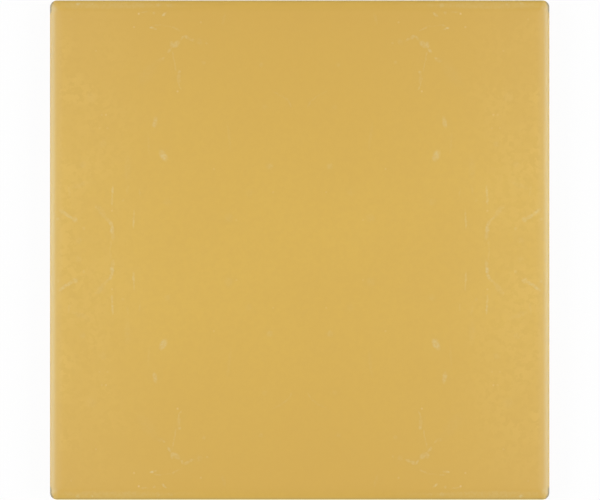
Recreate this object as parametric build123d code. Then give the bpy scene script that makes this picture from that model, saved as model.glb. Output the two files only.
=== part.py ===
"""A square glazed ceramic floor tile, pressed and fired in one piece.

The tile lies on its back with the glazed face up. The origin is the middle of the back,
the rib tops lie on Z = 0, and X and Y run along the sides. Lengths are in millimetres.
"""

import math
import os

from build123d import *

# Face and thickness
tile_length = 200.0  # along X
tile_width = 200.0  # along Y
tile_thickness = 8.0  # from the rib tops to the glazed face
corner_radius = 2.8  # of the outline, seen from above

# Rim: the face curves down to upright sides, and the back has a bevel
cushion_width = 5.2  # reach of the curve, in from the side
cushion_drop = 1.4  # fall of the curve, at the side
arris_radius = 0.6  # round between the curve and the side
back_bevel = 1.0  # width and height of the 45 degree bevel

# Back: shallow pockets between ribs, which key the tile into its bed
border_width = 10.5  # plain band between the bevel and the pockets
pocket_pitch = 18.0  # middle to middle, taken to the nearest that fills the space in the border
rib_width = 3.0  # at the rib tops
pocket_depth = 0.7
pocket_draft = 30.0  # lean of the pocket walls from upright, in degrees
pocket_floor_radius = 1.2  # corners of the pocket floor


def half_section(half_span):
    """Upright section of half the tile: its middle is at x = 0 and its side at x = half_span."""
    face_end = (half_span - cushion_width, tile_thickness)
    shoulder = (half_span, tile_thickness - cushion_drop)
    cushion = TangentArc(face_end, shoulder, tangent=(1, 0))
    rest = Polyline(
        shoulder,
        (half_span, back_bevel),
        (half_span - back_bevel, 0),
        (0, 0),
        (0, tile_thickness),
        face_end,
    )
    section = make_face([cushion, rest])
    shoulder_corner = section.vertices().sort_by_distance(shoulder)[0]
    return fillet(shoulder_corner, arris_radius)


def slab_across(span, length, plane):
    """Bar with the tile's section across one pair of sides, run the length of the other pair."""
    half = half_section(span / 2)
    section = half + mirror(half, Plane.YZ)
    return extrude(plane * section, length / 2, both=True)


def corner_column():
    """Rim turned a quarter round the corner's upright axis, which is the Z axis here."""
    half_span = cushion_width + corner_radius
    band = Pos(half_span - corner_radius / 2, tile_thickness / 2) * Rectangle(corner_radius, tile_thickness)
    rim = Pos(corner_radius - half_span, 0) * (half_section(half_span) & band)
    return revolve(Plane.XZ * rim, Axis.Z, 90)


def round_corners(slab):
    """Slab with its four square corners exchanged for turned ones."""
    column = corner_column()
    block = Box(corner_radius, corner_radius, tile_thickness, align=Align.MIN)
    axis_x = tile_length / 2 - corner_radius
    axis_y = tile_width / 2 - corner_radius
    signs = ((1, 1), (-1, 1), (-1, -1), (1, -1))
    for quarter, (sign_x, sign_y) in enumerate(signs):
        place = Pos(sign_x * axis_x, sign_y * axis_y) * Rot(0, 0, 90 * quarter)
        slab = slab - place * block + place * column
    return slab


def pocket_row(span):
    """Count and pitch of the pockets across a span: an even count, so that ribs cross in the middle."""
    room = span - 2 * (back_bevel + border_width) + rib_width
    count = 2 * round(room / (2 * pocket_pitch))
    return count, room / count


def key_pockets():
    """Cutters for the pockets of the back, on a grid about the middle."""
    count_x, pitch_x = pocket_row(tile_length)
    count_y, pitch_y = pocket_row(tile_width)
    wall_run = pocket_depth * math.tan(math.radians(pocket_draft))
    mouth = RectangleRounded(pitch_x - rib_width, pitch_y - rib_width, pocket_floor_radius + wall_run)
    pocket = extrude(mouth, pocket_depth, taper=pocket_draft)
    return [place * pocket for place in GridLocations(pitch_x, pitch_y, count_x, count_y)]


def floor_tile():
    """The whole tile, as one solid."""
    across = slab_across(tile_length, tile_width, Plane.XZ)
    along = slab_across(tile_width, tile_length, Plane.YZ)
    return round_corners(across & along) - key_pockets()


tile = floor_tile()
os.makedirs("parts", exist_ok=True)
export_step(tile, "parts/floor_tile.step")
print("volume", round(tile.volume), "faces", len(tile.faces()), "valid", tile.is_valid)
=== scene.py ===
"""Looks of the glazed ceramic floor tile: its surface, its two finishes, the light and the camera.

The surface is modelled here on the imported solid's measures and stands for that solid. Lengths are in
millimetres until a mesh, a lamp or the camera is made from them.
"""

import math

import bpy
import numpy as np
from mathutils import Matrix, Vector, noise


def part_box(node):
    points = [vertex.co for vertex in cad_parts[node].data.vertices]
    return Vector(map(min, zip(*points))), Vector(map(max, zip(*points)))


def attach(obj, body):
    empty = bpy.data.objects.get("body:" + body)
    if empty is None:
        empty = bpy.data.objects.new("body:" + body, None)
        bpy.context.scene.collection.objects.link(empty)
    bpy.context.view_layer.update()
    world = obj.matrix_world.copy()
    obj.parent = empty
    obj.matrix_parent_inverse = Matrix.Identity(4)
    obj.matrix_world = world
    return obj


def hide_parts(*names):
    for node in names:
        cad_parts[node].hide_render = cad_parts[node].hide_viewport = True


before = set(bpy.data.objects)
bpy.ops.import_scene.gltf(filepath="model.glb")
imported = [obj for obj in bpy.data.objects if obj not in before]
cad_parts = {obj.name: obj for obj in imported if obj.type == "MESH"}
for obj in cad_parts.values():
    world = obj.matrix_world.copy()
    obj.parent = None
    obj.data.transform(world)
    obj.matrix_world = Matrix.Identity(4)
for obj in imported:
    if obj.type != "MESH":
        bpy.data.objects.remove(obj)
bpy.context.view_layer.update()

MM = 0.001  # metres in a millimetre

# The tile's measures, as in its solid
TILE_LOW, TILE_HIGH = (np.array(corner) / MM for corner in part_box("floor_tile"))
HALF = (TILE_HIGH[0] - TILE_LOW[0]) / 2
THICKNESS = TILE_HIGH[2] - TILE_LOW[2]
CORNER_RADIUS = 2.8
CUSHION_WIDTH = 5.2
CUSHION_DROP = 1.4
ARRIS_RADIUS = 0.6
BACK_BEVEL = 1.0
BORDER_WIDTH = 10.5
POCKET_COUNT = 10
RIB_WIDTH = 3.0
POCKET_DEPTH = 0.7
POCKET_DRAFT = math.radians(30)
POCKET_FLOOR_RADIUS = 1.2
POCKET_PITCH = (2 * (HALF - BACK_BEVEL - BORDER_WIDTH) + RIB_WIDTH) / POCKET_COUNT
FACE_HALF = HALF - CUSHION_WIDTH  # of the flat part of the face

# The arcs of the rim's section: the cushion meets the arris where both lean alike
CUSHION_RADIUS = (CUSHION_WIDTH**2 + CUSHION_DROP**2) / (2 * CUSHION_DROP)
ARRIS_LEAN = math.asin((CUSHION_WIDTH - ARRIS_RADIUS) / (CUSHION_RADIUS - ARRIS_RADIUS))
ARRIS_FOOT = THICKNESS - CUSHION_RADIUS + (CUSHION_RADIUS - ARRIS_RADIUS) * math.cos(ARRIS_LEAN)

# What firing adds: the glaze runs part of the way down the sides, and nothing is quite true
GLAZE_LINE = 3.4  # height at which the glaze ends
GLAZE_LINE_WANDER = 0.55
GLAZE_COAT = 0.15  # how far the glaze stands out from the bare side
GLAZE_LIP = 0.3  # height of the rounded end of the coat
GLAZE_WAVE = 0.05  # depth of the face's slow waves
GLAZE_RIPPLE = 0.012  # depth of its short ripples
CLAY_UNEVEN = 0.05
PRESS_ROUND = 0.15  # of the edges of the back

# Waves in those surfaces: their size, and a level that sets each pattern apart from the others
LINE_SLOW = (23.0, 1.7)  # of the line where the glaze ends
LINE_SHORT = (6.0, 4.1)
LINE_SHORT_SHARE = 0.5  # of the short waves, beside the slow ones
FACE_SLOW = (34.0, 7.3)
FACE_SHORT = (9.0, 2.9)
SIDE_WAVES = (4.0, 5.5)
BACK_WAVES = (5.0, 9.2)

# How finely the surface is divided
CELL_STEPS = 12  # along one side of a pocket's square
POCKET_ARC_STEPS = 3  # for half of a pocket's corner
BORDER_STEPS = 4  # between the pockets' squares and the face's edge
CORNER_STEPS = 10
CUSHION_STEPS = 10
ARRIS_STEPS = 6
POINT_DIGITS = 4  # decimals to which points in one place agree

GLAZE, CLAY = 0, 1  # the finishes, in the order of the mesh's materials

# Bands of the map that the finishes can be baked to, from their lowest to their highest place in it
BAKE_ENDS = (0.004, 0.996)  # of every band, from left to right
FACE_BAND = (0.004, 0.5)
BACK_BAND = (0.515, 0.835)
SIDE_BANDS = ((0.85, 0.88), (0.89, 0.92), (0.93, 0.96), (0.97, 0.996))
SIDE_TOP = ARRIS_FOOT + ARRIS_RADIUS / 2  # height that divides the sides from the face

# Pale marks of the glaze, and a patch of painted sheen: width, strength and the points of a line, or one
# point for a spot.
# A point is measured from the nearest side left or right, then from the nearest side above or below.
VEILS_AND_SHEEN = (
    # Painted sheen where the rims meet
    (2.6, 0.6, ((2.0, 1.6), (2.0, 3.0))),
    # Smudges on the upper and the lower rim
    (2.6, 0.42, ((2.0, 2.2), (44.0, 2.2))),
    (2.0, 0.35, ((8.0, 1.9), (21.0, 1.9))),
    (1.1, 1.35, ((10.9, 1.6), (11.7, 1.6))),
    (0.6, 0.6, ((13.4, 1.6),)),
    (1.0, 1.3, ((17.3, 1.7),)),
    (1.8, 0.7, ((43.2, 2.2),)),
    (1.3, 0.45, ((47.0, 2.3), (48.8, 2.2))),
    (1.6, 0.15, ((38.0, 2.4), (60.0, 2.3))),
    # Hook, dash and a thin broken arc
    (0.6, 0.4, ((36.4, 5.0), (39.0, 4.9))),
    (1.1, 0.75, ((41.8, 5.3),)),
    (0.75, 1.2, ((45.3, 6.3), (46.4, 5.4))),
    (0.75, 1.45, ((40.5, 11.2), (41.3, 11.3))),
    (0.7, 0.7, ((41.7, 11.5), (42.5, 11.7))),
    (0.6, 0.4, ((42.0, 10.3), (44.3, 10.1))),
    (0.5, 0.25, ((45.7, 10.4), (49.0, 10.7))),
    (0.7, 0.5, ((49.2, 10.9), (50.2, 11.4), (51.7, 12.2))),
    # Knot, the ring beside it and its threads
    (1.2, 0.55, ((48.9, 17.2),)),
    (1.7, 0.85, ((49.1, 18.3),)),
    (1.8, 0.75, ((50.2, 18.2), (51.2, 17.3))),
    (1.0, 0.8, ((48.3, 19.9), (47.6, 20.7))),
    (0.7, 0.7, ((45.9, 23.3), (45.4, 23.6))),
    (1.4, 0.25, ((45.2, 23.8), (43.6, 24.4))),
    (4.2, 0.1, ((41.0, 27.0), (37.4, 31.8))),
    (0.9, 0.8, ((52.8, 15.6), (53.3, 14.9))),
    (1.2, 0.75, ((54.4, 14.7), (55.2, 15.2))),
    (0.9, 0.6, ((55.9, 15.5), (57.3, 16.2))),
    (2.0, 0.25, ((59.9, 16.8),)),
    (0.8, 0.5, ((62.9, 17.3),)),
    (0.6, 0.45, ((49.2, 21.2), (50.0, 25.2), (50.5, 28.1))),
    (1.2, 0.95, ((51.9, 28.9),)),
    (1.4, 0.45, ((51.7, 30.2), (51.7, 32.6))),
    (0.55, 0.6, ((51.6, 33.0), (51.9, 34.6), (52.6, 35.7))),
    # Spots
    (2.4, 1.0, ((45.1, 61.6), (45.9, 63.1))),
    (1.6, 0.85, ((42.3, 47.9), (41.9, 50.1))),
    (2.2, 0.45, ((88.0, 66.6),)),
    (1.4, 0.4, ((61.7, 25.1),)),
    (1.6, 0.25, ((84.6, 26.0),)),
    (3.0, 0.2, ((71.7, 87.2),)),
    (2.4, 0.2, ((47.1, 80.9),)),
    (1.2, 0.2, ((70.0, 6.2), (69.2, 9.2))),
    (2.4, 0.2, ((13.3, 65.8),)),
    (2.4, 0.2, ((21.4, 57.5),)),
    (3.4, 0.15, ((16.6, 38.9),)),
    # Streak that curves in towards the side, and the arm beyond it
    (0.8, 0.5, ((18.6, 82.9),)),
    (1.9, 0.35, ((19.6, 83.4), (21.6, 86.0))),
    (1.0, 0.5, ((22.2, 86.9), (23.6, 88.2))),
    (1.2, 0.9, ((24.3, 88.8), (24.9, 90.2))),
    (1.3, 1.3, ((25.0, 91.2), (25.1, 92.6))),
    (1.4, 0.45, ((25.2, 93.4), (25.4, 95.2))),
    (0.7, 0.25, ((24.6, 96.4), (24.3, 100.0))),
    (1.3, 0.9, ((4.6, 84.3), (6.6, 85.8))),
    (1.2, 0.85, ((6.6, 85.8), (9.0, 87.2))),
    (1.9, 0.75, ((10.2, 87.9),)),
    (1.2, 0.4, ((3.4, 87.6),)),
    (1.2, 0.5, ((13.7, 91.4),)),
    (2.4, 0.2, ((11.7, 96.3),)),
    # Straight threads beside the streak
    (0.75, 0.9, ((25.3, 75.0), (25.1, 78.4))),
    (0.75, 0.75, ((25.1, 78.8), (25.0, 81.5))),
    (0.6, 0.5, ((33.8, 84.3), (33.8, 86.6))),
    (0.75, 0.95, ((33.7, 86.8), (33.6, 90.5))),
    (0.6, 0.3, ((36.0, 75.8), (36.1, 78.0))),
    (1.2, 0.25, ((29.4, 80.3),)),
    (0.9, 0.2, ((31.4, 74.6), (31.0, 77.0))),
    (0.9, 0.25, ((7.6, 75.0), (8.1, 78.0))),
    (1.8, 0.2, ((10.0, 74.9), (15.0, 72.9))),
    (0.9, 0.15, ((39.4, 53.8), (39.8, 61.2))),
    (2.2, 0.15, ((31.2, 64.2), (31.0, 71.0))),
    # Faint ones near the middle
    (0.6, 0.2, ((89.5, 36.7), (93.4, 38.8))),
    (0.7, 0.3, ((93.4, 38.8), (95.6, 40.6), (96.6, 42.6))),
    (1.2, 0.15, ((71.2, 50.3), (72.3, 58.9))),
    (2.0, 0.15, ((86.0, 42.9),)),
    (2.6, 0.12, ((79.7, 77.1),)),
)

# Pinholes, dimpled in the relief and given a painted glint in the colour: strength and place, measured in
# the same way
PINHOLES = (
    (0.8, (33.8, 10.9)),
    (0.6, (60.5, 9.0)),
    (1.3, (35.7, 5.6)),
    (0.3, (8.7, 7.8)),
    (0.5, (65.7, 67.6)),
    (0.8, (22.6, 46.0)),
    (0.4, (20.9, 46.0)),
    (0.4, (89.4, 76.9)),
    (0.35, (74.7, 88.0)),
    (0.35, (23.2, 51.3)),
    (0.3, (20.0, 51.3)),
    (0.4, (18.6, 20.4)),
    (1.0, (51.2, 36.6)),
    (0.6, (25.0, 84.3)),
)
PINHOLE_WIDTH = 0.75

# How a mark fades: its reach to each side for its width, and the share of its reach that fades
MARK_SPREAD = 0.77
MARK_CORE = 0.7

# Painted shade on the corners' arris, as a line measured in the same way: width, strength and points
CORNER_SHADE_LINE = (1.2, 0.9, ((0.1, 4.6), (0.1, 2.8), (0.4, 1.65), (0.92, 0.9)))

# Colours of the glaze, its marks and its painted shade, sheen and glints, linear
OCHRE = (0.733, 0.4745, 0.099, 1)
# deeper ochre, also laid on as painted shade along the upper and the lower side
OCHRE_DEEP_AND_SHADE = (0.679, 0.420, 0.092, 1)
VEIL_AND_SHEEN = (0.76, 0.70, 0.45, 1)
# painted glint of the pinholes
PAINTED_GLINT = (0.92, 0.80, 0.62, 1)
# paler flakes, partly painted sheen by the left and the right side
BLOOM_AND_SHEEN = (0.771, 0.507, 0.121, 1)
# painted shade of the upper and the lower arris
ARRIS_SHADE = (0.52, 0.375, 0.10, 1)
# painted shade on the corners' arris
CORNER_SHADE = (0.38, 0.31, 0.18, 1)
SHEEN_TINT = (0.44, 0.81, 1.0, 1)  # of the glaze's reflections, which are a little cool

# Colours of the clay, linear
BUFF = (0.6, 0.43, 0.27, 1)
BUFF_DARK = (0.47, 0.31, 0.18, 1)
GROG = (0.24, 0.15, 0.09, 1)
KILN_WASH = (0.74, 0.69, 0.61, 1)

# Shares of those colours at the most, and how far they reach
VEIL_AND_SHEEN_SHARE = 0.3
PAINTED_GLINT_SHARE = 0.2
BLOOM_AND_SHEEN_SHARE = 0.6
BLOOM_AND_SHEEN_REACH = 42.0  # of the paler flakes and their painted sheen, from the left and the right side
BLOOM_AND_SHEEN_END = 0.3  # what is left of the flakes and their painted sheen at the upper and the lower side
DEEP_SHADE_SHARE = 0.7
DEEP_SHADE_REACH = 75.0  # reach of the deeper tone and its painted shade from the upper and the lower side
ARRIS_SHADE_SHARE = 0.5
ARRIS_SHADE_EDGE = (0.4, 1.1)  # where the painted shade of the upper and the lower arris starts to fade, and ends
CORNER_SHADE_EDGE = (-0.1, 0.25)  # where the painted corner shade starts and is whole, upwards from the foot of the arris
CORNER_SHADE_RAGGED = 0.6  # how far its grain can carry its lower edge down
WASH_EDGE = (0.05, 0.2)  # heights at which the kiln wash starts to fade, and ends

# Noise in the finishes: the size of its grains, its detail and how rough that detail is
CLOUD_GRAIN = (40.0, 2.0, 0.5)
MOTTLE_GRAIN = (2.2, 3.0, 0.6)
FLAKE_GRAIN = (2.8, 3.0, 0.6)
PATCH_GRAIN = (13.0, 2.0, 0.5)
VEIL_GRAIN = (1.0, 2.0, 0.5)
CORNER_SHADE_GRAIN = (1.2, 2.0, 0.5)
GLOSS_GRAIN = (7.0, 3.0, 0.5)
DIMPLE_GRAIN = (1.6, 2.0, 0.5)
CLAY_CLOUD_GRAIN = (14.0, 3.0, 0.5)
CLAY_FINE_GRAIN = (0.9, 3.0, 0.65)

# What the noise does: its values where a tone or a roughness starts and stops to grow, and the least
# and the most of that tone or roughness
CLOUD_TONE = (0.3, 0.7, 0.0, 0.2)
MOTTLE_TONE = (0.3, 0.7, 0.0, 0.32)
FLAKE_TONE = (0.43, 0.53, 0.0, 1.0)
PATCH_TONE = (0.38, 0.6, 0.3, 1.0)
VEIL_TONE = (0.4, 0.6, 0.4, 1.0)
GLAZE_ROUGHNESS = (0.25, 0.75, 0.285, 0.32)
CLAY_CLOUD_TONE = (0.3, 0.7, 0.0, 0.6)
CLAY_FINE_TONE = (0.35, 0.75, 0.0, 0.5)
CLAY_ROUGHNESS = (0.3, 0.7, 0.82, 0.95)
WASH_TONE = (0.35, 0.6, 0.0, 0.7)

# Ragged edges: the size of their waves and how far these reach
MARK_WAVER = (1.3, 0.5)
GROG_WAVER = (0.5, 0.25)
WAVER_DETAIL = 2.0

# Grog: a speck may lie in each cell. Its size goes by chance and its tone by the distance from its edge,
# both given in the way of the tones above
GROG_CELLS = 0.6  # to a millimetre
GROG_SIZE = (0.5, 1.0, -0.1, 0.22)
GROG_TONE = (-0.1, 0.05, 0.75, 0.0)

# Gloss and relief of the finishes
GLAZE_IOR = 1.53
CLAY_IOR = 1.5
VEIL_DULLNESS = 0.1  # roughness that a mark has beyond the rest
CORNER_SHADE_DULLNESS = 0.35
GLAZE_BUMP = (0.12, 0.05)  # strength and depth
CLAY_BUMP = (0.5, 0.2)

# Softboxes: distance from the tile's middle, rise over its face, width, height and power
HIGH_LAMP = (800.0, math.radians(57.5), 790.0, 525.0, 1.34)
LOW_LAMP = (1590.0, math.radians(31.6), 1870.0, 550.0, 18.8)

# Room and camera
WHITE = (1, 1, 1, 1)
CEILING = 0.05  # brightness of the room overhead, where its horizon is seen white
HORIZON = 0.3  # brightness of the horizon as a light
HORIZON_EDGE = (0.1, 0.2)  # rise of a direction where the horizon starts to fade, and ends
FLOOR_PAINT = (0.9, 0.9, 0.9, 1)
FLOOR_GAP = 0.02  # between the floor and the tile
FLOOR_REACH = 30.0  # metres
FLOOR_WHITE = (0.5, 2.5, 0.94, 1.0)  # metres from the tile, and how white the floor is seen there
PHOTO_WIDTH = 600  # pixels
PHOTO_SCALE = 499.5 / 200  # pixels to a millimetre of the outline
PHOTO_MIDDLE = -0.3  # pixels from the picture's middle to the tile's, to the right
LENS = 100.0
SENSOR = 36.0
CLIP_END = 100.0  # metres


# The tile's surface


class Surface:
    """Vertices and faces of one closed surface. Points in one place share a vertex."""

    def __init__(self):
        self.points = []
        self.faces = []
        self.finishes = []
        self.known = {}

    def vertex(self, point):
        """The number of the vertex in this place."""
        key = tuple(round(value, POINT_DIGITS) for value in point)
        if key not in self.known:
            self.known[key] = len(self.points)
            self.points.append(point)
        return self.known[key]

    def face(self, corners, finish):
        """Adds a face without the corners that fall together, or nothing if too few are left."""
        numbers = list(dict.fromkeys(self.vertex(corner) for corner in corners))
        if len(numbers) > 2:
            self.faces.append(numbers)
            self.finishes.append(finish)

    def strip(self, ring, inner, finish):
        """Joins two closed rings that run anticlockwise, seen from the side that shows."""
        for i in range(len(ring)):
            self.face((ring[i - 1], ring[i], inner[i], inner[i - 1]), finish)

    def sheet(self, rows, finish):
        """Fills a grid of points. Rows run to the right and follow each other upwards, as seen."""
        for row, above in zip(rows, rows[1:]):
            for i in range(1, len(row)):
                self.face((row[i - 1], row[i], above[i], above[i - 1]), finish)


def ripple(x, y, size, level):
    """Smooth noise from 0 to 1, with waves of about this size."""
    return 0.5 + 0.5 * noise.noise(Vector((x / size, y / size, level)))


def turned(x, y, quarters):
    """A place turned anticlockwise about the middle by quarter turns."""
    for _ in range(quarters):
        x, y = -y, x
    return x, y


def stations():
    """Places along a side that the face, the rim and the back share."""
    lattice = POCKET_COUNT * POCKET_PITCH / 2
    inner = np.linspace(-lattice, lattice, POCKET_COUNT * CELL_STEPS + 1)
    outer = np.linspace(lattice, FACE_HALF, BORDER_STEPS + 1)[1:]
    return [float(place) for place in (*-outer[::-1], *inner, *outer)]


def corner_path():
    """The outline's corner, from the corner of the flat face."""
    middle = CUSHION_WIDTH - CORNER_RADIUS
    angles = np.linspace(0, math.pi / 2, CORNER_STEPS + 1)
    return [(middle + CORNER_RADIUS * math.cos(a), middle + CORNER_RADIUS * math.sin(a)) for a in angles]


def ring(inset, height):
    """Points round the tile at an inset from its outline, anticlockwise from above."""
    shrink = 1 - inset / CUSHION_WIDTH
    side = [(HALF - inset, place) for place in stations()]
    corner = [(FACE_HALF + shrink * x, FACE_HALF + shrink * y) for x, y in corner_path()]
    places = [turned(x, y, quarters) for quarters in range(4) for x, y in side + corner]
    return [(x, y, height(x, y) if callable(height) else height) for x, y in places]


def rim_section():
    """Inset and height of the rings from the face's edge down to the foot of the arris."""
    cushion = [
        (CUSHION_WIDTH - CUSHION_RADIUS * math.sin(lean), THICKNESS - CUSHION_RADIUS * (1 - math.cos(lean)))
        for lean in np.linspace(0, ARRIS_LEAN, CUSHION_STEPS + 1)
    ]
    arris = [
        (ARRIS_RADIUS * (1 - math.sin(lean)), ARRIS_FOOT + ARRIS_RADIUS * math.cos(lean))
        for lean in np.linspace(ARRIS_LEAN, math.pi / 2, ARRIS_STEPS + 1)[1:]
    ]
    return cushion + arris


def glaze_end(x, y):
    """Height at which the glaze ends on the side."""
    wander = ripple(x, y, *LINE_SLOW) + LINE_SHORT_SHARE * ripple(x, y, *LINE_SHORT)
    middle = (1 + LINE_SHORT_SHARE) / 2
    return GLAZE_LINE + 2 * GLAZE_LINE_WANDER * (wander - middle)


def add_rim(surface):
    """The rim and the sides: glaze over the curve and part of the side, then bare clay to the bevel."""
    glazed = [ring(inset, height) for inset, height in rim_section()]
    glazed.append(ring(0, lambda x, y: glaze_end(x, y) + GLAZE_LIP))
    glazed.append(ring(GLAZE_COAT / 3, lambda x, y: glaze_end(x, y) + GLAZE_LIP / 3))
    glazed.append(ring(GLAZE_COAT, glaze_end))
    bare = [
        ring(GLAZE_COAT, BACK_BEVEL + PRESS_ROUND),
        ring(GLAZE_COAT + PRESS_ROUND, BACK_BEVEL - 2 * PRESS_ROUND),
        ring(BACK_BEVEL - PRESS_ROUND, PRESS_ROUND),
        ring(BACK_BEVEL + PRESS_ROUND, 0.0),
        ring(CUSHION_WIDTH, 0.0),
    ]
    for upper, lower in zip(glazed, glazed[1:]):
        surface.strip(lower, upper, GLAZE)
    for upper, lower in zip([glazed[-1]] + bare, bare):
        surface.strip(lower, upper, CLAY)


def add_face(surface):
    """The flat part of the face."""
    places = stations()
    surface.sheet([[(x, y, THICKNESS) for x in places] for y in places], GLAZE)


def add_border(surface):
    """The plain band round the pockets, on the back. It is seen from below, so its rows run backwards."""
    places = stations()
    low, high = places[: BORDER_STEPS + 1], places[-BORDER_STEPS - 1 :]
    between = places[BORDER_STEPS:-BORDER_STEPS]
    for columns, rows in ((places, low), (places, high), (low, between), (high, between)):
        surface.sheet([[(x, y, 0.0) for x in columns[::-1]] for y in rows], CLAY)


def pocket_side(half, radius):
    """Lower side of a rounded square, from the middle of one corner to the middle of the next."""
    middle = half - radius
    angles = np.linspace(-math.pi / 4, 0, POCKET_ARC_STEPS + 1)
    corner = [(-middle + radius * math.sin(a), -middle - radius * math.cos(a)) for a in angles]
    straight = np.linspace(-middle, middle, CELL_STEPS - 2 * POCKET_ARC_STEPS + 1)[1:-1]
    other = [(-x, y) for x, y in corner[::-1]]
    return corner + [(float(x), -half) for x in straight] + other


def closed_ring(side, centre, height):
    """A ring of four like sides about a centre. Each side gives up its end to the next."""
    places = [turned(x, y, quarters) for quarters in range(4) for x, y in side[:-1]]
    return [(centre[0] + x, centre[1] + y, height) for x, y in places]


def pocket_section():
    """Inset from the mouth and height of the rings down a pocket's wall, with its edges rounded."""
    run = math.tan(POCKET_DRAFT)
    return (
        (-PRESS_ROUND, 0.0),
        (PRESS_ROUND * run, PRESS_ROUND),
        ((POCKET_DEPTH - PRESS_ROUND) * run, POCKET_DEPTH - PRESS_ROUND),
        (POCKET_DEPTH * run + PRESS_ROUND, POCKET_DEPTH),
    )


def floor_rows(rim):
    """A grid of points inside a ring of four like sides, which is the grid's own edge."""
    n = CELL_STEPS
    edge = np.array(rim)
    low, right, top, left = (np.roll(edge, -k * n, axis=0)[: n + 1] for k in range(4))
    top, left = top[::-1], left[::-1]
    rows = []
    for j in range(n + 1):
        up = j / n
        row = []
        for i in range(n + 1):
            over = i / n
            across = (1 - over) * left[j] + over * right[j]
            along = (1 - up) * low[i] + up * top[i]
            low_end = (1 - over) * low[0] + over * low[n]
            top_end = (1 - over) * top[0] + over * top[n]
            corners = (1 - up) * low_end + up * top_end
            row.append(tuple(float(value) for value in across + along - corners))
        rows.append(row)
    return rows


def add_pocket(surface, centre):
    """One pocket of the back, with the ribs' share of its square."""
    half_pitch = POCKET_PITCH / 2
    mouth_half = half_pitch - RIB_WIDTH / 2
    mouth_radius = POCKET_FLOOR_RADIUS + POCKET_DEPTH * math.tan(POCKET_DRAFT)
    square = [(float(x), -half_pitch) for x in np.linspace(-half_pitch, half_pitch, CELL_STEPS + 1)]
    rings = [closed_ring(square, centre, 0.0)]
    for inset, height in pocket_section():
        rings.append(closed_ring(pocket_side(mouth_half - inset, mouth_radius - inset), centre, height))
    for outer, inner in zip(rings, rings[1:]):
        surface.strip(inner, outer, CLAY)
    surface.sheet([row[::-1] for row in floor_rows(rings[-1])], CLAY)


def add_pockets(surface):
    """All the pockets of the back, in rows about its middle."""
    places = (np.arange(POCKET_COUNT) - (POCKET_COUNT - 1) / 2) * POCKET_PITCH
    for x in places:
        for y in places:
            add_pocket(surface, (float(x), float(y)))


def blend(value, start, end):
    """0 before start, 1 after end, smooth between them."""
    share = min(max((value - start) / (end - start), 0), 1)
    return share * share * (3 - 2 * share)


def uneven(point):
    """A point moved a little into the tile, as run glaze and pressed clay lie."""
    x, y, z = point
    wave = GLAZE_WAVE * ripple(x, y, *FACE_SLOW) + GLAZE_RIPPLE * ripple(x, y, *FACE_SHORT)
    fall = wave * blend(z, ARRIS_FOOT, ARRIS_FOOT + ARRIS_RADIUS)
    rise = CLAY_UNEVEN * ripple(x, y, *BACK_WAVES) * blend(-z, -BACK_BEVEL, -BACK_BEVEL / 2)
    bare = blend(z, 0, BACK_BEVEL) * blend(-z, -GLAZE_LINE, -GLAZE_LINE + 2 * GLAZE_LINE_WANDER)
    shrink = 1 - CLAY_UNEVEN * ripple(x, y, *SIDE_WAVES) * bare / HALF
    return (x * shrink, y * shrink, z - fall + rise)


def bake_band(face):
    """The band that a face of the mesh belongs to, and the tile's directions along it and up it."""
    height = face.center.z / MM
    if height > SIDE_TOP:
        return FACE_BAND, Vector((1, 0, 0)), Vector((0, 1, 0))
    if height < BACK_BEVEL:
        return BACK_BAND, Vector((-1, 0, 0)), Vector((0, 1, 0))
    quarters = round(math.atan2(face.normal.y, face.normal.x) / (math.pi / 2)) % 4
    return SIDE_BANDS[quarters], Vector((*turned(0, 1, quarters), 0)), Vector((0, 0, 1))


def add_bake_map(mesh):
    """Lays the surface out flat, for baking."""
    layer = mesh.uv_layers.new(name="OFBake")
    middle = Vector((0, 0, THICKNESS / 2)) * MM
    reach = Vector((HALF, HALF, THICKNESS / 2)) * MM
    for face in mesh.polygons:
        band, along, up = bake_band(face)
        for corner in face.loop_indices:
            place = mesh.vertices[mesh.loops[corner].vertex_index].co - middle
            share = Vector(place[axis] / reach[axis] for axis in range(3))
            across = np.interp(share.dot(along), (-1, 1), BAKE_ENDS)
            upward = np.interp(share.dot(up), (-1, 1), band)
            layer.data[corner].uv = (across, upward)


def placed(name, data):
    """A new object in the scene."""
    thing = bpy.data.objects.new(name, data)
    bpy.context.collection.objects.link(thing)
    return thing


def tile_object():
    """The tile's whole surface as one mesh object."""
    surface = Surface()
    add_face(surface)
    add_rim(surface)
    add_border(surface)
    add_pockets(surface)
    mesh = bpy.data.meshes.new("glazed_tile")
    points = [Vector(uneven(point)) * MM for point in surface.points]
    mesh.from_pydata(points, [], surface.faces)
    mesh.polygons.foreach_set("material_index", surface.finishes)
    mesh.polygons.foreach_set("use_smooth", [True] * len(surface.faces))
    mesh.update()
    add_bake_map(mesh)
    return placed("glazed_tile", mesh)


# Nodes of the finishes


def put(tree, kind, inputs=None, **settings):
    """Adds a node. Each input is a value, or another node's output to link to it."""
    node = tree.nodes.new(kind)
    for name, value in settings.items():
        setattr(node, name, value)
    for key, value in (inputs or {}).items():
        if isinstance(value, bpy.types.NodeSocket):
            tree.links.new(value, node.inputs[key])
        else:
            node.inputs[key].default_value = value
    return node


def maths(tree, operation, first, second):
    """A sum, product or the like of two numbers."""
    return put(tree, "ShaderNodeMath", {0: first, 1: second}, operation=operation).outputs[0]


def vectors(tree, operation, first, second=(0, 0, 0), output="Vector"):
    """The same for places. Some operations need only the first."""
    return put(tree, "ShaderNodeVectorMath", {0: first, 1: second}, operation=operation).outputs[output]


def coordinate(tree, place, axis):
    """One coordinate of a place."""
    return put(tree, "ShaderNodeSeparateXYZ", {0: place}).outputs[axis]


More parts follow.
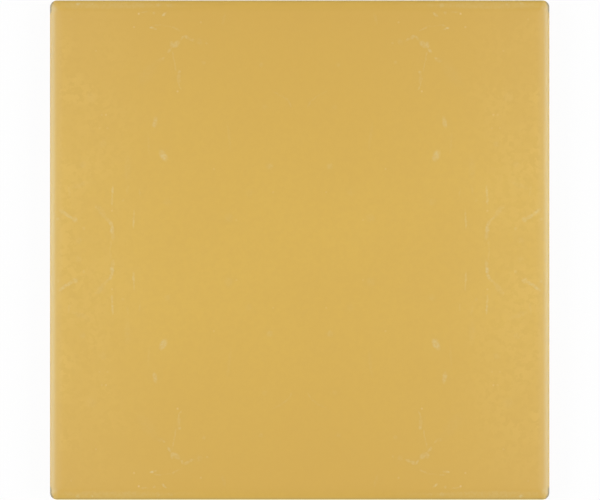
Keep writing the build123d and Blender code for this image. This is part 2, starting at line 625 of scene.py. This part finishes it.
def grain(tree, place, size, detail, rough):
    """Noise from 0 to 1 with grains of about this size."""
    inputs = {"Vector": place, "Scale": 1 / size, "Detail": detail, "Roughness": rough}
    return put(tree, "ShaderNodeTexNoise", inputs).outputs["Fac"]


def stretch(tree, value, low, high, new_low=0.0, new_high=1.0, smooth=True):
    """Carries a value from one range to another, and holds it there."""
    kind = "SMOOTHSTEP" if smooth else "LINEAR"
    inputs = {"Value": value, "From Min": low, "From Max": high, "To Min": new_low, "To Max": new_high}
    return put(tree, "ShaderNodeMapRange", inputs, interpolation_type=kind).outputs["Result"]


def blended(tree, share, first, second):
    """Mixes two colours."""
    inputs = {"Factor": share, 6: first, 7: second}
    return put(tree, "ShaderNodeMix", inputs, data_type="RGBA").outputs[2]


def layered(tree, colour, layers):
    """A colour with others laid over it in turn, each by its share."""
    for share, tone in layers:
        colour = blended(tree, share, colour, tone)
    return colour


def empty_tree(owner):
    """The node tree of a material or a world, with nothing in it."""
    owner.use_nodes = True
    owner.node_tree.nodes.clear()
    return owner.node_tree


def new_material(name):
    """An empty material, its tree, and places on the tile in millimetres."""
    material = bpy.data.materials.new(name)
    tree = empty_tree(material)
    coordinates = put(tree, "ShaderNodeTexCoord").outputs["Object"]
    return material, tree, vectors(tree, "MULTIPLY", coordinates, (1 / MM,) * 3)


def finish_material(tree, inputs):
    """Ends a material with its shader."""
    shader = put(tree, "ShaderNodeBsdfPrincipled", inputs)
    put(tree, "ShaderNodeOutputMaterial", {"Surface": shader.outputs[0]})


def bumps(tree, relief, strength, depth):
    """Normals of a surface with this relief."""
    inputs = {"Height": relief, "Strength": strength, "Distance": depth * MM}
    return put(tree, "ShaderNodeBump", inputs).outputs["Normal"]


def from_sides(tree, place):
    """Places as distances from the nearest side left or right, and above or below."""
    folded = vectors(tree, "SUBTRACT", (HALF, HALF, 0), vectors(tree, "ABSOLUTE", place))
    return vectors(tree, "MULTIPLY", folded, (1, 1, 0))


def wavering(tree, place, size, reach):
    """A shift of places that gives a mark the ragged edge of fired glaze or clay."""
    inputs = {"Vector": place, "Scale": 1 / size, "Detail": WAVER_DETAIL}
    waver = put(tree, "ShaderNodeTexNoise", inputs).outputs["Color"]
    centred = vectors(tree, "SUBTRACT", waver, (0.5,) * 3)
    return vectors(tree, "MULTIPLY", centred, (2 * reach, 2 * reach, 0))


def spindle(tree, place, width, strength, start, end):
    """How strongly one mark shows. It tapers to its two ends, or is round where these are one."""
    start, end = Vector(start), Vector(end)
    middle, run = (start + end) / 2, end - start
    node = put(tree, "ShaderNodeTexGradient", {"Vector": place}, gradient_type="SPHERICAL")
    node.texture_mapping.vector_type = "TEXTURE"
    node.texture_mapping.translation = (*middle, 0)
    node.texture_mapping.rotation = (0, 0, math.atan2(run.y, run.x))
    node.texture_mapping.scale = (MARK_SPREAD * (run.length + width), MARK_SPREAD * width, 1)
    return stretch(tree, node.outputs["Fac"], 0.0, MARK_CORE, 0.0, strength)


def strongest(tree, place, marks):
    """How strongly the strongest of several marks shows at each place."""
    total = 0.0
    for width, strength, points in marks:
        for start, end in zip(points, points[1:] or points):
            total = maths(tree, "MAXIMUM", spindle(tree, place, width, strength, start, end), total)
    return total


# The glaze


def deep_tone_and_painted_shade(tree, sides):
    """Share of the deeper tone, which lies inside the rim along the upper and the lower side: partly the
    glaze's own more orange tone, partly painted shade where the side lamps' light falls off.
    """
    inset = coordinate(tree, sides, "Y")
    start = stretch(tree, inset, 0.0, CUSHION_WIDTH)
    end = stretch(tree, inset, CUSHION_WIDTH, DEEP_SHADE_REACH, DEEP_SHADE_SHARE, 0.0, smooth=False)
    return maths(tree, "MULTIPLY", start, end)


def painted_arris_shade(tree, sides, place):
    """Share of the painted shade, which lies along the upper and the lower arris."""
    above = stretch(tree, coordinate(tree, place, "Z"), ARRIS_FOOT - ARRIS_RADIUS, ARRIS_FOOT)
    near = stretch(tree, coordinate(tree, sides, "Y"), *ARRIS_SHADE_EDGE, ARRIS_SHADE_SHARE, 0.0)
    return maths(tree, "MULTIPLY", above, near)


def flakes_and_painted_sheen(tree, sides, place):
    """Share of the paler tone, which lies in flakes that thin out from the left and the right side: partly
    the glaze's own flakes, partly painted sheen from the side lamps.
    """
    inset = coordinate(tree, sides, "X")
    across = stretch(tree, inset, CUSHION_WIDTH, BLOOM_AND_SHEEN_REACH, BLOOM_AND_SHEEN_SHARE, 0.0, smooth=False)
    along = stretch(tree, coordinate(tree, sides, "Y"), CUSHION_WIDTH, BLOOM_AND_SHEEN_REACH, BLOOM_AND_SHEEN_END, 1.0)
    inside = stretch(tree, inset, CUSHION_WIDTH / 2, CUSHION_WIDTH)
    patches = stretch(tree, grain(tree, place, *PATCH_GRAIN), *PATCH_TONE)
    share = stretch(tree, grain(tree, place, *FLAKE_GRAIN), *FLAKE_TONE)
    for limit in (across, along, inside, patches):
        share = maths(tree, "MULTIPLY", share, limit)
    return share


def painted_corner_shade(tree, sides, place):
    """Share of the painted shade at the corners, on the arris and a little below it."""
    ragged = maths(tree, "MULTIPLY", grain(tree, place, *CORNER_SHADE_GRAIN), CORNER_SHADE_RAGGED)
    height = maths(tree, "ADD", coordinate(tree, place, "Z"), ragged)
    upper = stretch(tree, height, *(ARRIS_FOOT + edge for edge in CORNER_SHADE_EDGE))
    return maths(tree, "MULTIPLY", upper, strongest(tree, sides, [CORNER_SHADE_LINE]))


def pale_marks_and_sheen(tree, sides, place):
    """How strongly the pale marks, and the painted sheen where the rims meet, show. Their edges are ragged,
    and their grain breaks them up.
    """
    ragged = vectors(tree, "ADD", sides, wavering(tree, place, *MARK_WAVER))
    broken = stretch(tree, grain(tree, place, *VEIL_GRAIN), *VEIL_TONE)
    return maths(tree, "MULTIPLY", strongest(tree, ragged, VEILS_AND_SHEEN), broken)


def glaze_roughness(tree, place, veils_and_sheen, shaded_corners):
    """Satin all over, duller on the marks and on the painted shade at the corners."""
    roughness = stretch(tree, grain(tree, place, *GLOSS_GRAIN), *GLAZE_ROUGHNESS, smooth=False)
    for share, dullness in ((veils_and_sheen, VEIL_DULLNESS), (shaded_corners, CORNER_SHADE_DULLNESS)):
        roughness = maths(tree, "ADD", roughness, maths(tree, "MULTIPLY", share, dullness))
    return roughness


def glaze_material():
    """Satin ochre glaze with its fired marks, and painted shade, sheen and glints."""
    material, tree, place = new_material("ochre_glaze")
    sides = from_sides(tree, place)
    veils_and_sheen = pale_marks_and_sheen(tree, sides, place)
    pinholes = strongest(tree, sides, [(PINHOLE_WIDTH, strength, (spot,)) for strength, spot in PINHOLES])
    shaded_corners = painted_corner_shade(tree, sides, place)
    colour = layered(tree, OCHRE, (
        (stretch(tree, grain(tree, place, *CLOUD_GRAIN), *CLOUD_TONE), OCHRE_DEEP_AND_SHADE),
        (stretch(tree, grain(tree, place, *MOTTLE_GRAIN), *MOTTLE_TONE), OCHRE_DEEP_AND_SHADE),
        # deeper tone along the upper and the lower side, partly painted shade
        (deep_tone_and_painted_shade(tree, sides), OCHRE_DEEP_AND_SHADE),
        # paler flakes, partly painted sheen by the left and the right side
        (flakes_and_painted_sheen(tree, sides, place), BLOOM_AND_SHEEN),
        # painted shade on the upper and the lower arris
        (painted_arris_shade(tree, sides, place), ARRIS_SHADE),
        # pale marks, and painted sheen where the rims meet
        (maths(tree, "MULTIPLY", veils_and_sheen, VEIL_AND_SHEEN_SHARE), VEIL_AND_SHEEN),
        # painted glint on the pinholes
        (maths(tree, "MULTIPLY", pinholes, PAINTED_GLINT_SHARE), PAINTED_GLINT),
        # painted shade at the corners
        (shaded_corners, CORNER_SHADE),
    ))
    relief = maths(tree, "SUBTRACT", grain(tree, place, *DIMPLE_GRAIN), pinholes)
    finish_material(tree, {
        "Base Color": colour,
        "Roughness": glaze_roughness(tree, place, veils_and_sheen, shaded_corners),
        "IOR": GLAZE_IOR,
        "Specular Tint": SHEEN_TINT,
        "Normal": bumps(tree, relief, *GLAZE_BUMP),
    })
    return material


# The clay


def grog(tree, place):
    """Share of the grog's tone: ragged specks of many sizes, the larger ones rare."""
    ragged = vectors(tree, "ADD", place, wavering(tree, place, *GROG_WAVER))
    cells = put(tree, "ShaderNodeTexVoronoi", {"Vector": ragged, "Scale": GROG_CELLS}).outputs
    chance = put(tree, "ShaderNodeSeparateColor", {0: cells["Color"]}).outputs[0]
    size = stretch(tree, chance, *GROG_SIZE, smooth=False)
    return stretch(tree, maths(tree, "SUBTRACT", cells["Distance"], size), *GROG_TONE)


def kiln_wash(tree, place, cloud):
    """Share of the kiln wash, which clings in patches to what the tile lies on."""
    lowest = stretch(tree, coordinate(tree, place, "Z"), *WASH_EDGE, 1.0, 0.0)
    return maths(tree, "MULTIPLY", lowest, stretch(tree, cloud, *WASH_TONE))


def clay_material():
    """Bare fired clay of the lower sides and the back."""
    material, tree, place = new_material("fired_clay")
    cloud = grain(tree, place, *CLAY_CLOUD_GRAIN)
    fine = grain(tree, place, *CLAY_FINE_GRAIN)
    colour = layered(tree, BUFF, (
        (stretch(tree, cloud, *CLAY_CLOUD_TONE), BUFF_DARK),
        (stretch(tree, fine, *CLAY_FINE_TONE), BUFF_DARK),
        (grog(tree, place), GROG),
        (kiln_wash(tree, place, cloud), KILN_WASH),
    ))
    finish_material(tree, {
        "Base Color": colour,
        "Roughness": stretch(tree, fine, *CLAY_ROUGHNESS),
        "IOR": CLAY_IOR,
        "Normal": bumps(tree, fine, *CLAY_BUMP),
    })
    return material


# The floor, the lamps, the room and the camera


def seen(tree):
    """1 where the camera or a reflection shows the room, 0 where the room only lights the tile."""
    path = put(tree, "ShaderNodeLightPath").outputs
    reflected = maths(tree, "MAXIMUM", path["Is Glossy Ray"], path["Is Transmission Ray"])
    return maths(tree, "MAXIMUM", path["Is Camera Ray"], reflected)


def floor_material():
    """White paint that is seen nearly pure white, so that only a faint shadow is left on it."""
    material = bpy.data.materials.new("white_floor")
    tree = empty_tree(material)
    paint = put(tree, "ShaderNodeBsdfDiffuse", {"Color": FLOOR_PAINT})
    white = put(tree, "ShaderNodeEmission", {"Color": WHITE, "Strength": 1.0})
    position = put(tree, "ShaderNodeNewGeometry").outputs["Position"]
    away = vectors(tree, "LENGTH", position, output="Value")
    share = maths(tree, "MULTIPLY", seen(tree), stretch(tree, away, *FLOOR_WHITE))
    mixed = put(tree, "ShaderNodeMixShader", {0: share, 1: paint.outputs[0], 2: white.outputs[0]})
    put(tree, "ShaderNodeOutputMaterial", {"Surface": mixed.outputs[0]})
    return material


def add_floor():
    """Level white floor under the tile."""
    mesh = bpy.data.meshes.new("floor")
    height = (TILE_LOW[2] - FLOOR_GAP) * MM
    signs = ((-1, -1), (1, -1), (1, 1), (-1, 1))
    corners = [(x * FLOOR_REACH, y * FLOOR_REACH, height) for x, y in signs]
    mesh.from_pydata(corners, [], [(0, 1, 2, 3)])
    mesh.materials.append(floor_material())
    floor = placed("floor", mesh)


def add_lamps(name, distance, rise, width, height, power):
    """Two like softboxes that face the tile, one on its left and one on its right."""
    for side, sign in (("left", -1), ("right", 1)):
        light = bpy.data.lights.new(f"{name}_{side}", "AREA")
        light.shape = "RECTANGLE"
        light.size = width * MM
        light.size_y = height * MM
        light.energy = power
        lamp = placed(light.name, light)
        lamp.location = Vector((sign * math.cos(rise), 0, math.sin(rise))) * distance * MM
        lamp.rotation_euler = lamp.location.to_track_quat("Z", "Y").to_euler()


def add_world():
    """A plain pale room: white round the horizon, dim overhead."""
    world = bpy.data.worlds.new("room")
    tree = empty_tree(world)
    rise = coordinate(tree, put(tree, "ShaderNodeTexCoord").outputs["Generated"], "Z")
    horizon = stretch(tree, seen(tree), 0.0, 1.0, HORIZON, 1.0)
    brightness = stretch(tree, rise, *HORIZON_EDGE, horizon, CEILING)
    background = put(tree, "ShaderNodeBackground", {"Color": WHITE, "Strength": brightness})
    put(tree, "ShaderNodeOutputWorld", {"Surface": background.outputs[0]})
    bpy.context.scene.world = world


def add_camera():
    """Camera straight above the tile, as in the photograph."""
    data = bpy.data.cameras.new("camera")
    data.lens = LENS
    data.sensor_width = SENSOR
    data.clip_end = CLIP_END
    picture_width = PHOTO_WIDTH / PHOTO_SCALE
    distance = picture_width * LENS / SENSOR
    outline_height = THICKNESS - CUSHION_DROP
    camera = placed("camera", data)
    camera.location = Vector((-PHOTO_MIDDLE / PHOTO_SCALE, 0, outline_height + distance)) * MM
    bpy.context.scene.camera = camera


# The scene

tile = tile_object()
tile.data.materials.append(glaze_material())
tile.data.materials.append(clay_material())
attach(tile, "root")
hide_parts("floor_tile")

add_floor()
add_lamps("high_lamp", *HIGH_LAMP)
add_lamps("low_lamp", *LOW_LAMP)
add_world()
add_camera()
bpy.context.scene.view_settings.view_transform = "Standard"
